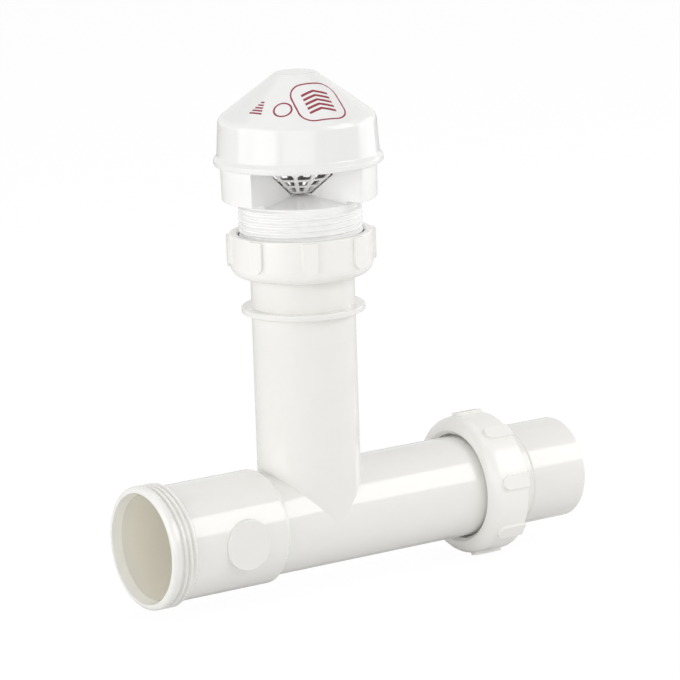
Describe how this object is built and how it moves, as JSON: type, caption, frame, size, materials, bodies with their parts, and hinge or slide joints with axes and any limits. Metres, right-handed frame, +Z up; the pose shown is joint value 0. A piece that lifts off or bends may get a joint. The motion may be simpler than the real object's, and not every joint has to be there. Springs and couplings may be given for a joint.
{
  "type": "air admittance valve",
  "caption": "White plastic air admittance valve head with a conical vent cap, clamped by a lugged slip nut on the branch of a tubular drain tee, with a loose slip nut on the plain tail.",
  "frame": {"origin": "on the run's axis, where the straight bore of the inlet socket begins behind its bevelled mouth", "axes": "+X along the run towards the plain tail, +Z up the branch towards the valve head, +Y to the back"},
  "size_m": [0.1872, 0.0618, 0.1925],
  "materials": {
    "tee_plastic": "satin warm white polypropylene",
    "nut_plastic": "satin warm white polypropylene",
    "head_plastic": "satin neutral white moulding",
    "screen_plastic": "plain white moulding",
    "disc_plastic": "plain pale moulding",
    "seal_rubber": "soft grey silicone",
    "washer_rubber": "dark soft rubber"
  },
  "bodies": {
    "tee": {"tee_body": "tee_plastic", "valve_body": "head_plastic", "insect_screen": "screen_plastic", "vent_cap": "head_plastic"},
    "washer": {"branch_washer": "washer_rubber"},
    "clamp_nut": {"branch_nut": "nut_plastic"},
    "loose_nut": {"tail_nut": "nut_plastic"},
    "disc": {"valve_disc": "disc_plastic", "disc_seal": "seal_rubber"}
  },
  "joints": [
    {"name": "disc_lift", "type": "slide", "parent": "tee", "child": "disc", "axis": [0, 0, 1], "range_m": [0, 0.006]},
    {"name": "nut_travel", "type": "slide", "parent": "tee", "child": "washer", "axis": [0, 0, 1], "range_m": [-0.0085, 0]},
    {"name": "nut_turn", "type": "hinge", "parent": "washer", "child": "clamp_nut", "pos_m": [0.07, 0, 0.098], "axis": [0, 0, 1], "range_deg": [-1440, 0]},
    {"name": "tail_nut_slide", "type": "slide", "parent": "tee", "child": "loose_nut", "axis": [1, 0, 0], "range_m": [-0.046, 0.04]}
  ],
  "couplings": [
    {"joint": "nut_travel", "follows": "nut_turn", "m_per_rad": 0.00033423}
  ]
}
